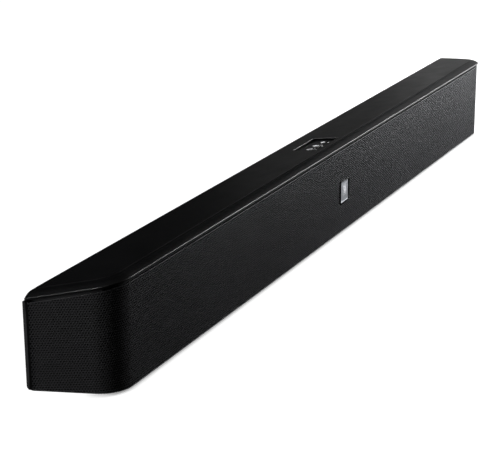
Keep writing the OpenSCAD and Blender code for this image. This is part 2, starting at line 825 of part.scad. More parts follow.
rear_housing();
top_cover();
front_baffle();
grille();
grille_cloth();
badge_frame();
badge_plate();
bulkhead(-1);  // bulkhead_left
bulkhead(1);  // bulkhead_right
control_panel();
button(-1);  // button_left
button(0);  // button_middle
button(1);  // button_right
button_light_pipes();
control_board();
tact_switches();
woofer_basket(1);  // woofer_basket_1
woofer_basket(2);  // woofer_basket_2
woofer_basket(3);  // woofer_basket_3
woofer_basket(4);  // woofer_basket_4
woofer_magnet(1);  // woofer_magnet_1
woofer_magnet(2);  // woofer_magnet_2
woofer_magnet(3);  // woofer_magnet_3
woofer_magnet(4);  // woofer_magnet_4
woofer_cone(1);  // woofer_cone_1
woofer_cone(2);  // woofer_cone_2
woofer_cone(3);  // woofer_cone_3
woofer_cone(4);  // woofer_cone_4
woofer_surround(1);  // woofer_surround_1
woofer_surround(2);  // woofer_surround_2
woofer_surround(3);  // woofer_surround_3
woofer_surround(4);  // woofer_surround_4
woofer_spiders();
tweeter_plate(-1);  // tweeter_plate_left
tweeter_plate(1);  // tweeter_plate_right
tweeter_dome(-1);  // tweeter_dome_left
tweeter_dome(1);  // tweeter_dome_right
tweeter_magnet(-1);  // tweeter_magnet_left
tweeter_magnet(1);  // tweeter_magnet_right
bass_port(-1);  // bass_port_left
bass_port(1);  // bass_port_right
wadding(-1);  // wadding_left
wadding(1);  // wadding_right
speaker_lead(-1);  // speaker_lead_left
speaker_lead(1);  // speaker_lead_right
amp_board();
heat_sink();
power_board();
transformer();
capacitors();
jack_panel();
mains_inlet();
phono_sockets();
mini_socket();
optical_socket();
wall_inserts();
feet();
baffle_screws();
cover_screws();
board_screws();
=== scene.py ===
"""Looks of the soundbar: perforated steel skin, satin cover, keys, badge, sockets and the parts inside."""
import json
import math

import bmesh
import bpy
import numpy as np
from mathutils import Matrix, Vector, noise


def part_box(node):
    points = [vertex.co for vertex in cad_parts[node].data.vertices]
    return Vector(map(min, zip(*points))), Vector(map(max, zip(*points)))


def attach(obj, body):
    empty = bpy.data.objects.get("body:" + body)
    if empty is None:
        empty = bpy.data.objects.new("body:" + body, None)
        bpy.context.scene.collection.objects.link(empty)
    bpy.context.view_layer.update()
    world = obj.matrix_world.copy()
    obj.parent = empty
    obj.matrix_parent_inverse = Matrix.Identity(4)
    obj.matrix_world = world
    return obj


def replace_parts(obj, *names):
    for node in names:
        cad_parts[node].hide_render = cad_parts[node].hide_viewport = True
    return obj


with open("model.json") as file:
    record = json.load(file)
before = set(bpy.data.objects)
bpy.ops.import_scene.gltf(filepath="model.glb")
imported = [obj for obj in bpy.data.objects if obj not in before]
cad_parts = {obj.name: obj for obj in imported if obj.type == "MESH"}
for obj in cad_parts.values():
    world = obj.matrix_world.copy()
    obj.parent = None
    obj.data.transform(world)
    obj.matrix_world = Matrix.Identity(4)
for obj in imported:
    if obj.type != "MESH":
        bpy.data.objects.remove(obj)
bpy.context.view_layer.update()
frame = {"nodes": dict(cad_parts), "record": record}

# ---- the cabinet's driving sizes, in metres, as the frame has them ------------------------------
MM = 0.001
COVER_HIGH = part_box("top_cover")[1]
GRILLE_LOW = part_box("grille")[0]
HALF_L = COVER_HIGH[0]
HALF_D = COVER_HIGH[1]
DEPTH = 2 * HALF_D
SPLAY = 32 * MM
CORNER_R = 33 * MM
TOP_DROP = 9 * MM
FLOOR_RISE = 5.5 * MM
REAR_R = 5 * MM
BEVEL_W = 9.6 * MM
BEVEL_H = 4.2 * MM
REAR_BEVEL_W = 2.3 * MM
REAR_FLANGE = 1.5 * MM
REAR_EDGE = HALF_D - REAR_FLANGE
REAR_CORNER_R = 2.0 * MM
LIP_H = 1.8 * MM
COVER_T = 2.5 * MM
FOOT_GAP = GRILLE_LOW[2]
TOP_SLOPE = TOP_DROP / DEPTH
FLOOR_SLOPE = FLOOR_RISE / DEPTH
TOP_TILT = math.atan(TOP_SLOPE)
# The cover's highest line is where its bevel meets the top face.
TOP_AT_FRONT = COVER_HIGH[2] + TOP_SLOPE * BEVEL_W
END_LEN = math.hypot(SPLAY, DEPTH)
END_NORMAL = Vector((DEPTH / END_LEN, -SPLAY / END_LEN))
CORNER_X = HALF_L - SPLAY - CORNER_R * (END_LEN - SPLAY) / DEPTH
CORNER_Y = -HALF_D + CORNER_R
LIP_UNDER = BEVEL_H + LIP_H
GRILLE_INSET = GRILLE_LOW[1] + HALF_D
GRILLE_GAP = 2.3 * MM
GRILLE_TOP = LIP_UNDER + GRILLE_GAP


def top_z(y, down=0.0):
    """Height of the sloping top face at depth y, less down."""
    return TOP_AT_FRONT - down - TOP_SLOPE * (y + HALF_D)


def floor_z(y, up=0.0):
    """Height of the sloping underside at depth y, plus up."""
    return FOOT_GAP + up + FLOOR_SLOPE * (y + HALF_D)


def end_x(y, inset):
    """x of the right end face at depth y, drawn in by inset."""
    return HALF_L - SPLAY + (y + HALF_D) * SPLAY / DEPTH - inset * END_LEN / DEPTH


# ---- mesh helpers -------------------------------------------------------------------------------
MERGE = 1e-7
ON_PLANE = 1e-8


def finish_object(name, mesh, material, body="cabinet", smooth=True):
    """A mesh becomes a piece: linked, shaded, given its material and its body."""
    obj = bpy.data.objects.new(name, mesh)
    bpy.context.scene.collection.objects.link(obj)
    mesh.materials.append(material)
    if smooth:
        mesh.polygons.foreach_set("use_smooth", [True] * len(mesh.polygons))
        obj.modifiers.new("even_normals", "WEIGHTED_NORMAL").keep_sharp = True
    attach(obj, body)
    return obj


def mesh_from(name, verts, faces):
    mesh = bpy.data.meshes.new(name)
    mesh.from_pydata(verts, [], faces)
    mesh.validate()
    return mesh


def mesh_from_bmesh(name, bm):
    bmesh.ops.remove_doubles(bm, verts=bm.verts, dist=MERGE)
    bmesh.ops.recalc_face_normals(bm, faces=bm.faces)
    mesh = bpy.data.meshes.new(name)
    bm.to_mesh(mesh)
    bm.free()
    return mesh


def loft(bm, rings, closed=True, cap_first=False, cap_last=False):
    """Joins rings of equal length with quads. Returns the rings' bmesh vertices."""
    made = [[bm.verts.new(p) for p in ring] for ring in rings]
    for low, high in zip(made, made[1:]):
        count = len(low)
        for i in range(count if closed else count - 1):
            j = (i + 1) % count
            bm.faces.new((low[i], low[j], high[j], high[i]))
    if cap_first:
        bm.faces.new(list(reversed(made[0])))
    if cap_last:
        bm.faces.new(made[-1])
    return made


def cut_away(bm, planes):
    """Removes what lies outside each plane, given as a point and an outward normal."""
    for point, normal in planes:
        geometry = list(bm.verts) + list(bm.edges) + list(bm.faces)
        bmesh.ops.bisect_plane(
            bm, geom=geometry, dist=ON_PLANE, plane_co=point, plane_no=normal, clear_outer=True
        )


def fill_between(bm, outer, inner):
    """A flat face with a hole: triangles between two loops of bmesh vertices."""
    edges = []
    for ring in (outer, inner):
        for a, b in zip(ring, ring[1:] + ring[:1]):
            edges.append(bm.edges.get((a, b)) or bm.edges.new((a, b)))
    bmesh.ops.triangle_fill(bm, edges=edges, use_beauty=True)


def circle_points(radius, count):
    angles = [math.tau * i / count for i in range(count)]
    return [(radius * math.cos(a), radius * math.sin(a)) for a in angles]


def round_rect(length, width, radius, steps=6):
    """A rectangle with round corners, centred, anticlockwise."""
    points = []
    for k, (sx, sy) in enumerate(((1, 1), (-1, 1), (-1, -1), (1, -1))):
        cx, cy = sx * (length / 2 - radius), sy * (width / 2 - radius)
        for i in range(steps + 1):
            a = math.pi / 2 * (k + i / steps)
            points.append((cx + radius * math.cos(a), cy + radius * math.sin(a)))
    return points


# ---- materials ----------------------------------------------------------------------------------
class Nodes:
    """A small builder for one material's nodes."""

    def __init__(self, name):
        self.material = bpy.data.materials.new(name)
        self.material.use_nodes = True
        self.tree = self.material.node_tree
        self.shader = self.tree.nodes["Principled BSDF"]
        self.coords = self.add("ShaderNodeTexCoord").outputs["Object"]

    def add(self, kind, **settings):
        node = self.tree.nodes.new(kind)
        for key, value in settings.items():
            setattr(node, key, value)
        return node

    def link(self, output, target):
        self.tree.links.new(output, target)

    def scaled(self, scale):
        mapping = self.add("ShaderNodeMapping")
        mapping.inputs["Scale"].default_value = scale
        self.link(self.coords, mapping.inputs["Vector"])
        return mapping.outputs["Vector"]

    def noise(self, scale, detail=3.0, roughness=0.5, stretch=(1, 1, 1)):
        node = self.add("ShaderNodeTexNoise")
        node.inputs["Scale"].default_value = scale
        node.inputs["Detail"].default_value = detail
        node.inputs["Roughness"].default_value = roughness
        self.link(self.scaled(stretch), node.inputs["Vector"])
        return node.outputs["Fac"]

    def voronoi(self, scale, feature="F1"):
        node = self.add("ShaderNodeTexVoronoi", feature=feature)
        node.inputs["Scale"].default_value = scale
        self.link(self.coords, node.inputs["Vector"])
        return node.outputs["Distance"]

    def wave(self, scale, direction, distortion=0.0):
        node = self.add("ShaderNodeTexWave", bands_direction=direction)
        node.inputs["Scale"].default_value = scale
        node.inputs["Distortion"].default_value = distortion
        self.link(self.coords, node.inputs["Vector"])
        return node.outputs["Fac"]

    def math(self, operation, a, b):
        node = self.add("ShaderNodeMath", operation=operation)
        for socket, value in zip(node.inputs, (a, b)):
            if isinstance(value, (int, float)):
                socket.default_value = value
            else:
                self.link(value, socket)
        return node.outputs[0]

    def span(self, value, low, high):
        """A 0 to 1 value spread from low to high."""
        node = self.add("ShaderNodeMapRange")
        self.link(value, node.inputs["Value"])
        node.inputs["To Min"].default_value = low
        node.inputs["To Max"].default_value = high
        return node.outputs["Result"]

    def ramp(self, value, stops):
        node = self.add("ShaderNodeValToRGB")
        elements = node.color_ramp.elements
        while len(elements) < len(stops):
            elements.new(0.5)
        for element, (place, colour) in zip(elements, stops):
            element.position = place
            element.color = (*colour, 1)
        self.link(value, node.inputs["Fac"])
        return node.outputs["Color"]

    def set(self, **values):
        for key, value in values.items():
            socket = self.shader.inputs[key.replace("_", " ")]
            if isinstance(value, (int, float, tuple)):
                socket.default_value = value
            else:
                self.link(value, socket)

    def bump(self, height, strength, distance):
        node = self.add("ShaderNodeBump")
        node.inputs["Strength"].default_value = strength
        node.inputs["Distance"].default_value = distance
        self.link(height, node.inputs["Height"])
        self.link(node.outputs["Normal"], self.shader.inputs["Normal"])


def tint(colour, factor):
    return tuple(min(1.0, c * factor) for c in colour)


def plastic(name, colour, rough=0.45, grain=1400.0, depth=0.00004, spread=0.25, specular=0.4):
    """Moulded plastic: a fine etched grain, slow colour drift and uneven sheen."""
    n = Nodes(name)
    drift = n.noise(22.0, 4.0)
    n.set(Base_Color=n.ramp(drift, [(0.3, tint(colour, 1 - spread)), (0.7, tint(colour, 1 + spread))]))
    n.set(Roughness=n.span(n.noise(60.0, 5.0), rough - 0.05, rough + 0.08))
    n.shader.inputs["Specular IOR Level"].default_value = specular
    n.bump(n.noise(grain, 3.0, 0.6), 0.35, depth)
    return n.material


def milky_painted_glow(name, colour, glow):
    """Milky plastic with a painted glow in place of a lamp behind it, a little uneven across its face."""
    n = Nodes(name)
    cloudy = n.noise(700.0, 4.0)
    n.set(Base_Color=n.ramp(cloudy, [(0.3, tint(colour, 0.93)), (0.7, tint(colour, 1.05))]))
    n.set(Roughness=n.span(n.noise(900.0, 3.0), 0.3, 0.42))
    # Painted glow: emission lights the part up though no lamp shines through it.
    n.set(Emission_Color=n.ramp(cloudy, [(0.3, (0.9, 0.93, 0.96)), (0.7, (1.0, 1.0, 1.0))]))
    n.set(Emission_Strength=glow)
    n.bump(n.noise(1500.0, 2.0), 0.2, 0.00001)
    return n.material


def powder_coat(name, colour, rough=0.42):
    """Powder-coated steel: orange-peel bump and a slightly uneven satin."""
    n = Nodes(name)
    peel = n.voronoi(2600.0, feature="SMOOTH_F1")
    drift = n.noise(9.0, 3.0)
    n.set(Base_Color=n.ramp(drift, [(0.3, tint(colour, 0.85)), (0.7, tint(colour, 1.15))]))
    n.set(Roughness=n.span(n.noise(420.0, 3.0), rough - 0.04, rough + 0.07))
    n.bump(peel, 0.25, 0.00005)
    return n.material


def metal(name, colour, rough=0.3, stretch=(1, 40, 40), scale=120.0):
    """Drawn or brushed metal: long fine scratches along X."""
    n = Nodes(name)
    lines = n.noise(scale, 6.0, 0.65, stretch)
    n.set(Base_Color=n.ramp(lines, [(0.25, tint(colour, 0.78)), (0.75, tint(colour, 1.12))]))
    n.set(Roughness=n.span(lines, rough - 0.08, rough + 0.12))
    n.shader.inputs["Metallic"].default_value = 1.0
    n.bump(lines, 0.12, 0.00003)
    return n.material


def silver_with_painted_highlight(name, centre):
    """Silver paint with a painted highlight: brightest in the middle, dull towards its edges."""
    n = Nodes(name)
    away = n.add("ShaderNodeVectorMath", operation="DISTANCE")
    n.link(n.coords, away.inputs[0])
    away.inputs[1].default_value = centre
    # Painted highlight: the colour is brightest at the badge's centre and darkens with distance from it.
    spread = n.math("ADD", n.math("MULTIPLY", away.outputs["Value"], 85.0), n.noise(900.0, 3.0))
    n.set(Base_Color=n.ramp(spread, [(0.45, (0.9, 0.9, 0.91)), (0.95, (0.3, 0.31, 0.33))]))
    n.set(Roughness=n.span(n.noise(1500.0, 4.0), 0.4, 0.5))
    n.shader.inputs["Metallic"].default_value = 0.6
    n.bump(n.noise(2500.0, 3.0), 0.15, 0.00002)
    return n.material


def rubber(name, colour, rough=0.75):
    """Moulded rubber: matt and a little blotchy."""
    n = Nodes(name)
    n.set(Base_Color=n.ramp(n.noise(90.0, 5.0), [(0.35, tint(colour, 0.7)), (0.7, tint(colour, 1.3))]))
    n.set(Roughness=n.span(n.noise(300.0, 4.0), rough - 0.1, rough + 0.1))
    n.bump(n.noise(2200.0, 2.0), 0.3, 0.00006)
    return n.material


def woven(name, colour, pitch=0.0007, rough=0.9):
    """Open plain weave: two sets of crossing threads."""
    n = Nodes(name)
    count = 1 / (pitch * math.tau) * 0.5
    across = n.math("ADD", n.wave(count, "X", 0.4), n.wave(count, "Y", 0.4))
    weave = n.math("MULTIPLY", across, n.wave(count, "Z", 0.4))
    n.set(Base_Color=n.ramp(weave, [(0.1, tint(colour, 0.35)), (0.8, tint(colour, 1.5))]))
    n.set(Roughness=n.span(n.noise(200.0, 3.0), rough - 0.08, rough + 0.08))
    n.shader.inputs["Sheen Weight"].default_value = 0.15
    n.bump(weave, 0.6, 0.00015)
    return n.material


def fibre(name, colour, rough=0.85, scale=500.0, depth=0.0002):
    """Pressed paper, silk or wadding: tangled fibres."""
    n = Nodes(name)
    strands = n.noise(scale, 8.0, 0.75, (1, 1, 3))
    n.set(Base_Color=n.ramp(strands, [(0.3, tint(colour, 0.6)), (0.75, tint(colour, 1.35))]))
    n.set(Roughness=n.span(strands, rough - 0.12, rough + 0.08))
    n.bump(strands, 0.5, depth)
    return n.material


def circuit(name, colour):
    """Solder mask with copper tracks under it and tinned pads."""
    n = Nodes(name)
    brick = n.add("ShaderNodeTexBrick")
    brick.inputs["Scale"].default_value = 260.0
    brick.inputs["Mortar Size"].default_value = 0.03
    brick.inputs["Color1"].default_value = (*tint(colour, 0.8), 1)
    brick.inputs["Color2"].default_value = (*tint(colour, 1.25), 1)
    brick.inputs["Mortar"].default_value = (*tint(colour, 2.4), 1)
    n.link(n.coords, brick.inputs["Vector"])
    pads = n.voronoi(330.0)
    mask = n.ramp(pads, [(0.1, (1, 1, 1)), (0.16, (0, 0, 0))])
    mix = n.add("ShaderNodeMix", data_type="RGBA")
    n.link(mask, mix.inputs["Factor"])
    n.link(brick.outputs["Color"], mix.inputs["A"])
    mix.inputs["B"].default_value = (0.62, 0.6, 0.55, 1)
    n.link(mix.outputs["Result"], n.shader.inputs["Base Color"])
    n.set(Roughness=n.span(n.noise(240.0), 0.25, 0.42))
    n.bump(pads, 0.15, 0.0001)
    return n.material


BADGE_CENTRE = (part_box("badge_plate")[0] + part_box("badge_plate")[1]) / 2
MATERIALS = {
    "housing": plastic("housing_plastic", (0.02, 0.02, 0.0215), 0.5, 1600.0, 0.00006, specular=0.35),
    "cover": plastic("cover_plastic", (0.004, 0.004, 0.0045), 0.33, 2400.0, 0.00001, 0.15, 0.35),
    # The baffle is black plastic. It is set darker than the housing as painted shade in the gap under the
    # cover's lip.
    "baffle": plastic("baffle_plastic", (0.004, 0.004, 0.004), 0.7, specular=0.1),
    "grille": powder_coat("grille_powder_coat", (0.023, 0.023, 0.025)),
    "cloth": woven("acoustic_cloth", (0.004, 0.004, 0.004)),
    "badge_frame": plastic(
        "badge_frame_satin", (0.002, 0.002, 0.0025), 0.45, 900.0, 0.00001, specular=0.06
    ),
    # The badge's silver carries a painted highlight in its middle.
    "badge": silver_with_painted_highlight("badge_silver_painted_highlight", BADGE_CENTRE),
    "control_panel": plastic("control_panel_plastic", (0.006, 0.006, 0.0065), 0.5, 2000.0),
    "button": plastic("button_plastic", (0.01, 0.01, 0.011), 0.48, 2000.0),
    # The signs and the light pipes glow with painted light.
    "icon": milky_painted_glow("icon_print_painted_glow", (0.72, 0.73, 0.74), 0.6),
    "light_pipe": milky_painted_glow("light_pipe_painted_glow", (0.7, 0.72, 0.74), 1.3),
    "circuit_board": circuit("solder_mask", (0.01, 0.07, 0.03)),
    "switch": plastic("switch_body", (0.02, 0.02, 0.02), 0.35),
    "basket": powder_coat("basket_paint", (0.02, 0.02, 0.02), 0.5),
    "magnet": metal("ferrite_and_steel", (0.16, 0.16, 0.165), 0.5, (1, 1, 1), 300.0),
    "cone": fibre("cone_paper", (0.02, 0.02, 0.021)),
    "surround": rubber("surround_rubber", (0.012, 0.012, 0.012), 0.6),
    "spider": woven("spider_cloth", (0.5, 0.33, 0.13), 0.0009),
    "tweeter_plate": plastic("tweeter_plate_plastic", (0.015, 0.015, 0.015), 0.4),
    "dome": fibre("dome_silk", (0.02, 0.02, 0.024), 0.55, 1200.0, 0.00005),
    "port": plastic("port_plastic", (0.008, 0.008, 0.008), 0.42, 1500.0),
    "wadding": fibre("wadding_fibre", (0.72, 0.72, 0.69), 0.95, 260.0, 0.0012),
    "lead": rubber("lead_insulation_red", (0.3, 0.012, 0.01), 0.5),
    "heat_sink": metal("extruded_aluminium", (0.62, 0.63, 0.65), 0.38),
    "transformer": woven("transformer_tape", (0.55, 0.42, 0.08), 0.0012, 0.6),
    "capacitor": plastic("capacitor_sleeve", (0.012, 0.014, 0.06), 0.28),
    "jack_panel": powder_coat("jack_panel_coat", (0.012, 0.012, 0.013), 0.5),
    "socket_plastic": plastic("socket_plastic", (0.01, 0.01, 0.01), 0.38),
    "socket_metal": metal("nickel_plate", (0.75, 0.74, 0.72), 0.2, (1, 1, 1), 500.0),
    "insert": metal("knurled_brass", (0.7, 0.5, 0.2), 0.35, (1, 1, 1), 900.0),
    "foot": rubber("foot_rubber", (0.012, 0.012, 0.012)),
    "screw": metal("black_zinc", (0.1, 0.1, 0.105), 0.35, (1, 1, 1), 700.0),
}
EDGE_SOFTNESS = {
    "rear_housing": 0.3 * MM, "feet": 0.6 * MM, "wadding_left": 2 * MM, "wadding_right": 2 * MM,
}
SMALL_PART_SOFTNESS = 0.12 * MM
SOFT_ABOVE = math.radians(40)
WELD = 1e-6


def dress_cad_nodes():
    """Every CAD node gets its slot's material, softened edges and even normals."""
    slots = {part["node"]: part["material_slot"] for part in frame["record"]["subparts"]}
    for name, obj in frame["nodes"].items():
        material = MATERIALS[slots[name]]
        for place in obj.material_slots:
            place.link = "OBJECT"
            place.material = material
        weld = obj.modifiers.new("weld", "WELD")
        weld.merge_threshold = WELD
        bevel = obj.modifiers.new("soft_edges", "BEVEL")
        bevel.width = EDGE_SOFTNESS.get(name, SMALL_PART_SOFTNESS)
        bevel.segments = 2
        bevel.limit_method = "ANGLE"
        bevel.angle_limit = SOFT_ABOVE
        bevel.use_clamp_overlap = True
        obj.modifiers.new("even_normals", "WEIGHTED_NORMAL")


# ---- the cover ----------------------------------------------------------------------------------
CORNER_STEPS = 20
REAR_CORNER_STEPS = 6
WALL_IN = 2.4 * MM
REAR_WALL_IN = 3.3 * MM
LIP_R = 0.6 * MM
LIP_TUCK = 0.55 * MM
LIP_TURN = 0.55 * math.pi / 2
LIP_DROP = 0.35 * MM
LIP_STEPS = 5
BEVEL_STEPS = 8
BEVEL_POWER = 1.9
STEP_W = 0.75 * MM
STEP_H = 0.68 * MM
# The step's top edge: drawn in from the bevel at the front, drawn in at the rear, down.
STEP_RINGS = ((-0.12 * MM, 0.05 * MM, 0.08 * MM), (0.1 * MM, 0.1 * MM, 0.0))
# The mouth of the control recess: grown by, down.
RECESS_RINGS = ((0.4 * MM, 0.0), (0.12 * MM, 0.1 * MM), (0.0, 0.4 * MM), (0.0, COVER_T))


def arc_points(centre, radius, start, end, steps):
    return [
        (centre[0] + radius * math.cos(a), centre[1] + radius * math.sin(a))
        for a in (start + (end - start) * i / steps for i in range(steps + 1))
    ]


def plan(inset, rear):
    """The cabinet's outline, anticlockwise, drawn in by inset at the front and ends and by rear behind."""
    back = HALF_D - rear
    turn = math.atan2(END_NORMAL.y, END_NORMAL.x)
    front = arc_points((CORNER_X, CORNER_Y), CORNER_R - inset, -math.pi / 2, turn, CORNER_STEPS)
    # The small corner at the rear, tangent to the end face and to the rear face.
    middle_y = back - REAR_CORNER_R
    middle = (end_x(middle_y, inset + REAR_CORNER_R), middle_y)
    right = front + arc_points(middle, REAR_CORNER_R, turn, math.pi / 2, REAR_CORNER_STEPS)
    return right + [(-x, y) for x, y in reversed(right)]


def cover_ring(inset, rear, down):
    return [(x, y, top_z(y, down)) for x, y in plan(inset, rear)]


# ---- control recess, in the sloping frame of the top face ---------------------------------------
PANEL_X = (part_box("control_panel")[0][0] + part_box("control_panel")[1][0]) / 2
PANEL_BACK = 27.4 * MM
PANEL_L = 51.4 * MM
PANEL_W = 25.6 * MM
BUTTON_PITCH = 15.2 * MM
BUTTON_Y = 2.4 * MM
BUTTON_L = 13.4 * MM
BUTTON_W = 13 * MM
KEY_RISE = 0.7 * MM


def on_top():
    """The frame of the top face at the middle of the control recess: +Z is its normal."""
    y = -HALF_D + PANEL_BACK
    return Matrix.Translation((PANEL_X, y, top_z(y))) @ Matrix.Rotation(-TOP_TILT, 4, "X")


ON_TOP = on_top()


def recess_ring(grow, down):
    points = round_rect(PANEL_L + 2 * grow, PANEL_W + 2 * grow, 1 * MM + grow, 5)
    return [ON_TOP @ Vector((x, y, -down)) for x, y in points]


def make_cover():
    """The top cover: underside, rounded lip, bevel, a fine step and the flat top with its recess."""
    rings = [
        cover_ring(BEVEL_W - WALL_IN, REAR_WALL_IN, COVER_T),
        cover_ring(BEVEL_W - WALL_IN, REAR_WALL_IN, LIP_UNDER),
        cover_ring(LIP_TUCK, LIP_TUCK, LIP_UNDER),
    ]
    for k in range(1, LIP_STEPS + 1):
        a = math.pi / 2 * k / LIP_STEPS
        inset = LIP_TUCK * (1 - math.sin(a))
        rings.append(cover_ring(inset, inset, LIP_UNDER - LIP_TUCK * (1 - math.cos(a))))
    # The lip turns over into the bevel, which flattens out towards the top face.
    for k in range(LIP_STEPS + 1):
        a = LIP_TURN * k / LIP_STEPS
        inset, rise = LIP_R * (1 - math.cos(a)), LIP_R * math.sin(a)
        rings.append(cover_ring(inset, inset, BEVEL_H + LIP_DROP - rise))
    low = BEVEL_H + LIP_DROP - LIP_R * math.sin(LIP_TURN)
    start = LIP_R * (1 - math.cos(LIP_TURN))
    for k in range(1, BEVEL_STEPS + 1):
        t = k / BEVEL_STEPS
        inset = start + (BEVEL_W - STEP_W - start) * t
        rear = start + (REAR_BEVEL_W - start) * t**4
        rings.append(cover_ring(inset, rear, STEP_H + (low - STEP_H) * (1 - t) ** BEVEL_POWER))
    rings.extend(cover_ring(BEVEL_W + more, REAR_BEVEL_W + rear, down) for more, rear, down in STEP_RINGS)
    bm = bmesh.new()
    made = loft(bm, rings)
    cut = loft(bm, [recess_ring(grow, down) for grow, down in RECESS_RINGS])
    # The top face and the ceiling inside, with the same recess cut through both.
    fill_between(bm, made[-1], cut[0])
    fill_between(bm, made[0], cut[-1])
    mesh = mesh_from_bmesh("cover_shell", bm)
    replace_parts(finish_object("cover_shell", mesh, MATERIALS["cover"]), "top_cover")


# ---- the perforated skin ------------------------------------------------------------------------
HOLE_PITCH = 2.1 * MM
HOLE_R = 0.94 * MM
HOLE_THROAT = 0.86 * MM
HOLE_DEPTH = 0.6 * MM
SKIN_SECTIONS = 4
BADGE_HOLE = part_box("badge_frame")
# Points are snapped to a grid of this many lines a metre, so that neighbouring cells share them.
SNAP_LINES = 1e7
HEM_BAND = 0.7 * MM
HEM_PROUD = 0.08 * MM
HEM_FOLD = 0.9 * MM
HEM_POINTS = 121
STRIP_T = 0.5 * MM
# The rear strips: distance in front of the rear rim, and inset from the cabinet's end face.
FLARE = ((1.1 * MM, 0.95 * MM), (0.7 * MM, 0.8 * MM), (0.35 * MM, 0.5 * MM), (0.0, 0.1 * MM))


def skin_path(inset):
    """The skin's run from the left rear edge to the right one: its length and s -> points, normals."""
    radius = CORNER_R - inset
    turn = math.atan2(END_NORMAL.y, END_NORMAL.x) + math.pi / 2
    tangent = (CORNER_X + END_NORMAL.x * radius, CORNER_Y + END_NORMAL.y * radius)
    straight = math.dist(tangent, (end_x(REAR_EDGE, inset), REAR_EDGE))
    lengths = (straight, radius * turn, 2 * CORNER_X, radius * turn, straight)
    ends = np.cumsum(lengths)

    def at(s):
        """Points and outward normals, as arrays, for an array of s."""
        x, y, nx, ny = (np.zeros_like(s) for _ in range(4))
        along = np.array([SPLAY, DEPTH]) / END_LEN
        for side, first in ((-1, s), (1, ends[-1] - s)):
            flat = first < straight
            run = straight - first
            x[flat] = side * (tangent[0] + along[0] * run[flat])
            y[flat] = tangent[1] + along[1] * run[flat]
            nx[flat] = side * END_NORMAL.x
            ny[flat] = END_NORMAL.y
            bend = (first >= straight) & (first < straight + lengths[1])
            a = turn - math.pi / 2 - (first[bend] - straight) / radius
            x[bend] = side * (CORNER_X + radius * np.cos(a))
            y[bend] = CORNER_Y + radius * np.sin(a)
            nx[bend] = side * np.cos(a)
            ny[bend] = np.sin(a)
        front = (s >= ends[1]) & (s <= ends[2])
        x[front] = s[front] - ends[1] - CORNER_X
        y[front] = -HALF_D + inset
        ny[front] = -1
        return x, y, nx, ny

    return float(ends[-1]), at


def cell_rings():
    """A hexagonal cell and its punched hole: corner, lip and throat rings as (dx, dz, depth)."""
    rings = []
    for radius, depth in ((HOLE_PITCH / math.sqrt(3), 0.0), (HOLE_R, 0.0), (HOLE_THROAT, HOLE_DEPTH)):
        angles = [math.pi / 6 + math.pi / 3 * k for k in range(6)]
        rings.append([(radius * math.cos(a), radius * math.sin(a), depth) for a in angles])
    return rings


def skin_mesh(name, s_from, s_to):
    """One stretch of the perforated skin, cut off at the cabinet's top and bottom slopes."""
    total, at = skin_path(GRILLE_INSET)
    row = HOLE_PITCH * math.sqrt(3) / 2
    low, high = floor_z(-HALF_D) - row, top_z(-HALF_D, GRILLE_TOP) + row
    cells = []
    for j in range(int((high - low) / row) + 1):
        shift = (j % 2) * HOLE_PITCH / 2
        first = math.ceil((s_from - shift) / HOLE_PITCH)
        last = math.ceil((s_to - shift) / HOLE_PITCH)
        cells.extend(((i * HOLE_PITCH + shift, low + j * row) for i in range(first, last)))
    cells = np.array(cells)
    offsets = np.array([p for ring in cell_rings() for p in ring])
    s = (cells[:, None, 0] + offsets[None, :, 0]).ravel()
    z = (cells[:, None, 1] + offsets[None, :, 1]).ravel()
    depth = np.tile(offsets[:, 2], len(cells))
    s = np.clip(s, 0.0, total)
    x, y, nx, ny = at(s)
    points = np.stack([x - nx * depth, y - ny * depth, z], 1)
    keys, index = np.unique(np.round(points * SNAP_LINES).astype(np.int64), axis=0, return_inverse=True)
    index = index.ravel().reshape(len(cells), 18)
    quads = []
    for k in range(6):
        m = (k + 1) % 6
        quads.append(index[:, [k, m, 6 + m, 6 + k]])
        quads.append(index[:, [6 + k, 6 + m, 12 + m, 12 + k]])
    mesh = mesh_from(name, (keys / SNAP_LINES).tolist(), np.concatenate(quads).tolist())
    bm = bmesh.new()
    bm.from_mesh(mesh)
    cuts = (
        ((0, -HALF_D, top_z(-HALF_D, GRILLE_TOP)), (0, TOP_SLOPE, 1)),
        ((0, -HALF_D, floor_z(-HALF_D)), (0, FLOOR_SLOPE, -1)),
    )
    cut_away(bm, cuts + rear_round_cuts())
    bmesh.ops.delete(bm, geom=[f for f in bm.faces if under_badge(f.calc_center_median())], context="FACES")
    bmesh.ops.recalc_face_normals(bm, faces=bm.faces)
    bm.to_mesh(mesh)
    bm.free()
    return mesh


def under_badge(point):
    low, high = BADGE_HOLE
    return low[0] < point.x < high[0] and low[2] < point.z < high[2] and point.y < 0


def rear_round_cuts():
    """Planes that follow the radius along the rear bottom edge."""
    centre_y = HALF_D - REAR_R
    centre_z = floor_z(centre_y) + REAR_R
    cuts = []
    for k in range(1, 6):
        a = math.radians(90 * k / 6)
        normal = (0, math.sin(a), -math.cos(a))
        cuts.append(((0, centre_y + REAR_R * normal[1], centre_z + REAR_R * normal[2]), normal))
    return tuple(cuts)


def make_skin():
    """The skin in a few sections, then its plain edges."""
    total, _ = skin_path(GRILLE_INSET)
    pieces = []
    for k in range(SKIN_SECTIONS):
        name = f"grille_skin_{k + 1}"
        mesh = skin_mesh(name, total * k / SKIN_SECTIONS, total * (k + 1) / SKIN_SECTIONS)
        pieces.append(finish_object(name, mesh, MATERIALS["grille"], smooth=False))
    for piece in pieces:
        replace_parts(piece, "grille")
    make_hem()
    make_rear_hem()


def hem_points(inset):
    total, at = skin_path(inset)
    x, y, _, _ = at(np.linspace(0, total, HEM_POINTS))
    return list(zip(x, y))


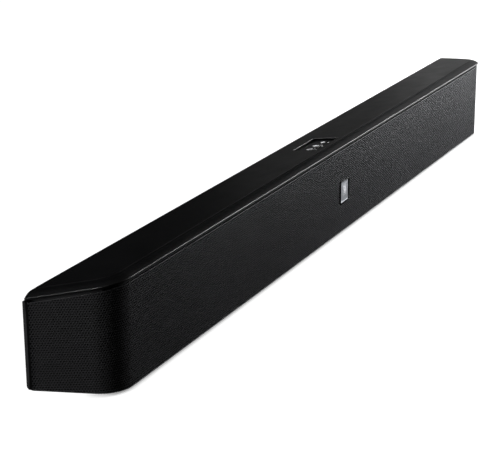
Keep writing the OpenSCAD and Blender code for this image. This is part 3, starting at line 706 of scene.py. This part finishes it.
def make_hem():
    """The folded edges of the skin: a plain band along its top and its bottom."""
    # Depth behind the skin's face, and place across the band.
    profile = (
        (HEM_FOLD, 0.0), (0.0, 0.0), (-HEM_PROUD, 0.12), (-HEM_PROUD, 0.88), (0.0, 1.0), (HEM_FOLD, 1.0),
    )
    for name, height in (
        ("grille_hem_top", lambda y, t: top_z(y, GRILLE_TOP + HEM_BAND * t)),
        ("grille_hem_bottom", lambda y, t: floor_z(y, HEM_BAND * (1 - t))),
    ):
        bm = bmesh.new()
        rings = [
            [(x, y, height(y, t)) for x, y in hem_points(GRILLE_INSET + depth)] for depth, t in profile
        ]
        loft(bm, rings, closed=False)
        cut_away(bm, rear_round_cuts())
        hem = finish_object(name, mesh_from_bmesh(name, bm), MATERIALS["grille"])
        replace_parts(hem, "grille")


def make_rear_hem():
    """The skin's rear edges: plain strips that flare out to the housing's rear rim."""
    strips = bmesh.new()
    for side in (-1, 1):
        outline = [(REAR_EDGE - back, inset) for back, inset in FLARE]
        outline += [(REAR_EDGE - back, inset + STRIP_T) for back, inset in reversed(FLARE)]
        rings = []
        for height in (floor_z, lambda y: top_z(y, GRILLE_TOP)):
            rings.append([(side * end_x(y, inset), y, height(y)) for y, inset in outline])
        loft(strips, rings, cap_first=True, cap_last=True)
    cut_away(strips, rear_round_cuts())
    mesh = mesh_from_bmesh("grille_hem_rear", strips)
    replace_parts(finish_object("grille_hem_rear", mesh, MATERIALS["grille"]), "grille")


# ---- badge and controls -------------------------------------------------------------------------
BADGE_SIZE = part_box("badge_plate")[1][0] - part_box("badge_plate")[0][0]
BADGE_R = 1 * MM
BADGE_LEAST_R = 0.1 * MM
# The plate's rim: drawn in from its edge, set back from its foremost plane.
BADGE_RINGS = (
    (0.0, 0.5 * MM), (0.0, 0.36 * MM), (0.06 * MM, 0.3 * MM), (0.15 * MM, 0.28 * MM),
    (0.75 * MM, 0.46 * MM), (0.95 * MM, 0.48 * MM),
)
BADGE_SWELL = 0.42 * MM
BADGE_MIDDLE = 0.3 * MM
SWELL_STEPS = 12
FRAME_FRONT = -29.9 * MM
FRAME_LIP = 0.2 * MM
FRAME_SEAT = 1.2 * MM
FRAME_ROUND = 0.35 * MM
STEM_R = 1.5 * MM


def badge_ring(grow, radius, y):
    """The plate's square outline with round corners, grown outwards, at depth y."""
    outline = round_rect(BADGE_SIZE + 2 * grow, BADGE_SIZE + 2 * grow, radius)
    return [(BADGE_CENTRE.x + x, y, BADGE_CENTRE.z + z) for x, z in outline]


def make_badge():
    """A blank plate with a low rim and a face that swells gently in the middle, in its frame."""
    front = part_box("badge_plate")[0][1]
    edge, floor = BADGE_RINGS[-1]
    middle = BADGE_SIZE / 2 - edge - BADGE_MIDDLE
    profile = list(BADGE_RINGS)
    for k in range(1, SWELL_STEPS + 1):
        t = k / (SWELL_STEPS + 0.5)
        profile.append((edge + middle * t, floor - BADGE_SWELL * (t * t * (3 - 2 * t)) ** 1.4))
    bm = bmesh.new()
    rings = [
        badge_ring(-inset, max(BADGE_R - 0.4 * inset, BADGE_LEAST_R), front + back)
        for inset, back in profile
    ]
    loft(bm, rings, cap_first=True, cap_last=True)
    mesh = mesh_from_bmesh("badge_face", bm)
    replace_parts(finish_object("badge_face", mesh, MATERIALS["badge"]), "badge_plate")
    make_badge_frame()


def make_badge_frame():
    """The dark frame round the plate, a little proud of the skin, with its stem through the baffle."""
    low, high = (Vector(c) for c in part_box("badge_frame"))
    rim = (high.x - low.x - BADGE_SIZE) / 2
    bm = bmesh.new()
    # Grown from the plate's edge, and depth.
    profile = (
        (FRAME_LIP / 2, low.y + FRAME_SEAT - FRAME_LIP), (FRAME_LIP / 2, FRAME_FRONT + 0.34 * MM),
        (-FRAME_LIP, FRAME_FRONT + 0.32 * MM), (-FRAME_LIP, FRAME_FRONT + FRAME_LIP / 2),
        (-FRAME_LIP / 2, FRAME_FRONT), (rim - FRAME_ROUND, FRAME_FRONT),
        (rim, FRAME_FRONT + FRAME_ROUND), (rim, low.y + FRAME_SEAT),
    )
    rings = [badge_ring(grow, BADGE_R + grow, y) for grow, y in profile]
    loft(bm, rings + rings[:1])
    stem = [
        [(BADGE_CENTRE.x + x, y, BADGE_CENTRE.z + z) for x, z in circle_points(STEM_R, 24)]
        for y in (low.y + FRAME_SEAT, high.y)
    ]
    loft(bm, stem, cap_first=True, cap_last=True)
    mesh = mesh_from_bmesh("badge_surround", bm)
    surround = finish_object("badge_surround", mesh, MATERIALS["badge_frame"])
    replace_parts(surround, "badge_frame")


# ---- keys ---------------------------------------------------------------------------------------
SKIRT_OUT = (1.2 * MM, 2 * MM)
SKIRT_H = 0.7 * MM
KEY_H = 2.9 * MM
DISH = 0.02 * MM
DISH_STEPS = 5
SIGN_T = 0.06 * MM
SIGN_SUNK = 0.03 * MM
STROKE = 0.6 * MM


def key_shape(bm, centre_x):
    """A key's cap and skirt as the CAD has it, with a dished top and soft edges."""
    def ring(extra_l, extra_w, radius, z, scale=1.0):
        outline = round_rect(BUTTON_L + extra_l, BUTTON_W + extra_w, radius)
        return [ON_TOP @ Vector((centre_x + x * scale, BUTTON_Y + y * scale, z)) for x, y in outline]

    top = -COVER_T + KEY_RISE
    under = top - KEY_H
    rings = [
        ring(*SKIRT_OUT, 1.4 * MM, under),
        ring(*SKIRT_OUT, 1.4 * MM, under + SKIRT_H),
        ring(0, 0, 1.2 * MM, under + SKIRT_H),
        ring(0, 0, 1.2 * MM, top - 0.3 * MM),
        ring(-0.12 * MM, -0.12 * MM, 1.2 * MM, top - 0.1 * MM),
        ring(-0.5 * MM, -0.5 * MM, 1.1 * MM, top),
    ]
    for k in range(1, DISH_STEPS + 1):
        t = k / (DISH_STEPS + 0.5)
        rings.append(ring(-0.9 * MM, -0.9 * MM, 1.0 * MM, top - DISH * math.sin(t * math.pi / 2), 1 - t))
    loft(bm, rings, cap_first=True, cap_last=True)


def flat_shape(bm, outline, centre, lift):
    """A thin raised print: outline points in the top face's own frame."""
    rings = [
        [ON_TOP @ Vector((centre[0] + x, centre[1] + y, z)) for x, y in outline]
        for z in (lift, lift + SIGN_T)
    ]
    loft(bm, rings, cap_last=True, cap_first=True)


def arc_band(radius, width, start, end, steps=28):
    """An open ring as one closed outline."""
    outer = arc_points((0, 0), radius + width / 2, start, end, steps)
    return outer + arc_points((0, 0), radius - width / 2, end, start, steps)


def bar_outline(length, width, up=0.0):
    x, y = length / 2, width / 2
    return [(-x, up - y), (x, up - y), (x, up + y), (-x, up + y)]


def make_keys():
    """Three keys with plain signs: a ring with a stroke, a filled arrow and a cross."""
    # Each sign's place on its key, and its outlines.
    signs = {
        "left": ((-0.3 * MM, -0.4 * MM), [
            arc_band(2.3 * MM, STROKE, math.radians(125), math.radians(415)),
            bar_outline(STROKE + 0.05 * MM, 2.8 * MM, 2.0 * MM),
        ]),
        "middle": ((-1.2 * MM, -0.5 * MM), [
            [(-1.2 * MM, -3.3 * MM), (1.2 * MM, -3.3 * MM), (1.2 * MM, 0.1 * MM), (3.1 * MM, 0.1 * MM),
             (0, 3.6 * MM), (-3.1 * MM, 0.1 * MM), (-1.2 * MM, 0.1 * MM)],
        ]),
        "right": ((-1.6 * MM, -1.6 * MM), [
            bar_outline(4.4 * MM, 1.5 * MM), bar_outline(1.5 * MM, 4.6 * MM),
        ]),
    }
    for k, side in enumerate(("left", "middle", "right")):
        x = (k - 1) * BUTTON_PITCH
        body = f"button_{side}"
        bm = bmesh.new()
        key_shape(bm, x)
        cap = mesh_from_bmesh(f"key_{side}", bm)
        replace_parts(finish_object(f"key_{side}", cap, MATERIALS["button"], body), body)
        bm = bmesh.new()
        (aside, middle_y), outlines = signs[side]
        for outline in outlines:
            flat_shape(bm, outline, (x + aside, middle_y), -COVER_T + KEY_RISE - SIGN_SUNK)
        sign = mesh_from_bmesh(f"key_sign_{side}", bm)
        finish_object(f"key_sign_{side}", sign, MATERIALS["icon"], body, smooth=False)


# ---- soft parts inside --------------------------------------------------------------------------
CLOTH_DEPTH = 1.15 * MM
CLOTH_TRIM = 0.8 * MM
CLOTH_COLUMNS = 260
CLOTH_ROWS = 24


def make_cloth():
    """The acoustic cloth, stretched on the inside of the skin."""
    total, at = skin_path(GRILLE_INSET + CLOTH_DEPTH)
    x, y, _, _ = at(np.linspace(0, total, CLOTH_COLUMNS + 1))
    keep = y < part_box("grille_cloth")[1][1] - 0.1 * MM
    foot = list(zip(x[keep], y[keep]))
    verts = []
    for px, py in foot:
        low, high = floor_z(py, CLOTH_TRIM), top_z(py, GRILLE_TOP + CLOTH_TRIM)
        verts.extend((px, py, low + (high - low) * j / CLOTH_ROWS) for j in range(CLOTH_ROWS + 1))
    faces = []
    for i in range(len(foot) - 1):
        here, there = i * (CLOTH_ROWS + 1), (i + 1) * (CLOTH_ROWS + 1)
        faces.extend((here + j, there + j, there + j + 1, here + j + 1) for j in range(CLOTH_ROWS))
    mesh = mesh_from("stretched_cloth", verts, faces)
    cloth = finish_object("stretched_cloth", mesh, MATERIALS["cloth"])
    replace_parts(cloth, "grille_cloth")


PAD_CUTS = 14
PAD_ROUND = 0.09
PAD_FILL = 0.93
LUMP_SCALE = 2.3
LUMP_DEPTH = 0.06
LUMP_SEED = Vector((7.0, 1.0, 3.0))


def make_wadding():
    """Polyester wadding: lumpy pads that bulge inside the space their solids hold."""
    for side in ("left", "right"):
        low, high = (Vector(c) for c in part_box(f"wadding_{side}"))
        centre, half = (low + high) / 2, (high - low) / 2
        bm = bmesh.new()
        bmesh.ops.create_cube(bm, size=2.0)
        bmesh.ops.subdivide_edges(bm, edges=bm.edges, cuts=PAD_CUTS, use_grid_fill=True)
        for v in bm.verts:
            p = v.co.copy()
            for axis in range(3):
                a, b = (axis + 1) % 3, (axis + 2) % 3
                p[axis] *= 1 - PAD_ROUND * (v.co[a] ** 4 + v.co[b] ** 4)
            lump = noise.noise(p * LUMP_SCALE + LUMP_SEED) * LUMP_DEPTH
            p *= PAD_FILL - abs(lump)
            v.co = centre + Vector((p.x * half.x, p.y * half.y, p.z * half.z))
        name = f"wadding_pad_{side}"
        pad = finish_object(name, mesh_from_bmesh(name, bm), MATERIALS["wadding"])
        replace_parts(pad, f"wadding_{side}")


# ---- stage, light and camera --------------------------------------------------------------------
CAMERA_AT = Vector((-1.3171, -0.5563, 0.4575))
CAMERA_YAW = math.radians(64.502)
CAMERA_PITCH = math.radians(-17.702)
CAMERA_ROLL = math.radians(-0.316)
CAMERA_LENS = 110.25
SENSOR_W = 36
FLOOR_REACH = 30
FLOOR_GLOW = 0.95
CONTACT_REACH = 4 * MM
WORLD_LEVEL = 0.0015
BACKDROP_LEVEL = 0.96


def make_camera():
    """The camera of the main view. Yaw runs from +Y towards +X, and roll turns it anticlockwise."""
    look = Vector((
        math.sin(CAMERA_YAW) * math.cos(CAMERA_PITCH),
        math.cos(CAMERA_YAW) * math.cos(CAMERA_PITCH),
        math.sin(CAMERA_PITCH),
    ))
    level = Vector((math.cos(CAMERA_YAW), -math.sin(CAMERA_YAW), 0))
    above = level.cross(look)
    right = level * math.cos(CAMERA_ROLL) + above * math.sin(CAMERA_ROLL)
    up = -level * math.sin(CAMERA_ROLL) + above * math.cos(CAMERA_ROLL)
    data = bpy.data.cameras.new("camera")
    data.lens = CAMERA_LENS
    data.sensor_width = SENSOR_W
    data.clip_start = 0.01
    camera = bpy.data.objects.new("camera", data)
    camera.matrix_world = Matrix.Translation(CAMERA_AT) @ Matrix((right, up, -look)).transposed().to_4x4()
    bpy.context.scene.collection.objects.link(camera)
    bpy.context.scene.camera = camera


def make_stage():
    """A pale floor that glows almost to pure white, so cast shadows barely show, with a faint painted
    contact shadow under the bar, and dim surroundings.
    """
    corners = [(x, y, 0) for x, y in bar_outline(2 * FLOOR_REACH, 2 * FLOOR_REACH)]
    mesh = mesh_from("floor", corners, [(0, 1, 2, 3)])
    floor = bpy.data.objects.new("floor", mesh)
    bpy.context.scene.collection.objects.link(floor)
    paper = Nodes("pale_floor")
    paper.set(Base_Color=paper.ramp(paper.noise(3.0), [(0.3, (0.36, 0.36, 0.36)), (0.7, (0.4, 0.4, 0.4))]))
    # Painted shadow: ambient occlusion dims the floor's glow close under the bar.
    painted_contact_shadow = paper.add("ShaderNodeAmbientOcclusion", samples=8)
    painted_contact_shadow.inputs["Distance"].default_value = CONTACT_REACH
    paper.set(Roughness=0.9, Emission_Color=(1, 1, 1, 1))
    paper.set(Emission_Strength=paper.math("MULTIPLY", painted_contact_shadow.outputs["AO"], FLOOR_GLOW))
    paper.shader.inputs["Specular IOR Level"].default_value = 0.1
    mesh.materials.append(paper.material)
    # The dark skin would mirror the floor's glow, so the floor stays out of reflections and bounce light.
    floor.visible_glossy = False
    floor.visible_diffuse = False
    world = bpy.data.worlds.new("surroundings")
    world.use_nodes = True
    tree = world.node_tree
    tree.nodes["Background"].inputs["Color"].default_value = (1, 1, 1, 1)
    # Pale where it is seen directly, dim as a light, like the floor.
    path = tree.nodes.new("ShaderNodeLightPath")
    level = tree.nodes.new("ShaderNodeMapRange")
    level.inputs["To Min"].default_value = WORLD_LEVEL
    level.inputs["To Max"].default_value = BACKDROP_LEVEL
    tree.links.new(path.outputs["Is Camera Ray"], level.inputs["Value"])
    tree.links.new(level.outputs["Result"], tree.nodes["Background"].inputs["Strength"])
    bpy.context.scene.world = world
    bpy.context.scene.view_settings.view_transform = "Standard"


NEUTRAL = (1.0, 1.0, 1.0)
COOL = (0.97, 0.98, 1.0)
# Name, place, what it points at, width and height, power in watts, colour.
LAMPS = (
    ("front_right", (1.15, -0.62, 0.32), (0.37, 0, 0.05), (0.8, 0.7), 36, COOL),
    ("front_sheen", (1.15, -0.62, 0.1), (0.37, 0, 0.05), (0.8, 0.4), 8, COOL),
    ("lip_line", (3.5, -1.75, 0.95), (0, 0, 0.09), (0.6, 0.6), 85, NEUTRAL),
    ("left_end", (-1.45, 0.75, 0.24), (-0.45, 0, 0.05), (0.4, 0.4), 19, NEUTRAL),
    ("top_far", (4.26, 1.08, 0.47), (0.44, 0, 0.09), (1.0, 0.6), 1.1, NEUTRAL),
    ("top_middle", (4.02, 1.8, 0.6), (0.2, 0, 0.09), (0.9, 0.6), 0.35, NEUTRAL),
    ("bevel_far", (4.21, 0.33, 1.39), (0.44, 0, 0.09), (1.2, 0.8), 1.8, NEUTRAL),
    ("edge_far", (1.38, -0.22, 0.37), (0.44, 0, 0.09), (0.17, 0.13), 0.5, NEUTRAL),
    ("end_lip", (-1.68, -0.51, 1.44), (-0.45, 0, 0.09), (0.25, 0.25), 38, NEUTRAL),
    ("rear", (-1.1, 2.0, 0.45), (0.15, 0, 0.05), (1.4, 0.5), 30, NEUTRAL),
    ("overhead", (0.2, 0.1, 2.2), (0, 0, 0), (1.6, 0.8), 0.3, NEUTRAL),
)
# Some lamps only draw highlights. Others only light the surface, and so leave no glare on the cover.
SHINE_ONLY = ("end_lip", "front_sheen", "lip_line")
MATT_ONLY = ("rear", "front_right")


def make_lamps():
    """Rectangular area lamps round the bar, as LAMPS lists them."""
    for name, place, target, size, power, colour in LAMPS:
        data = bpy.data.lights.new(name, "AREA")
        data.shape = "RECTANGLE"
        data.size, data.size_y = size
        data.energy = power
        data.color = colour
        lamp = bpy.data.objects.new(name, data)
        lamp.location = place
        lamp.rotation_euler = (Vector(target) - Vector(place)).to_track_quat("-Z", "Y").to_euler()
        bpy.context.scene.collection.objects.link(lamp)
        lamp.visible_diffuse = name not in SHINE_ONLY
        lamp.visible_glossy = name not in MATT_ONLY


make_camera()
dress_cad_nodes()
make_cover()
make_skin()
make_badge()
make_keys()
make_cloth()
make_wadding()
make_stage()
make_lamps()

bpy.context.view_layer.update()
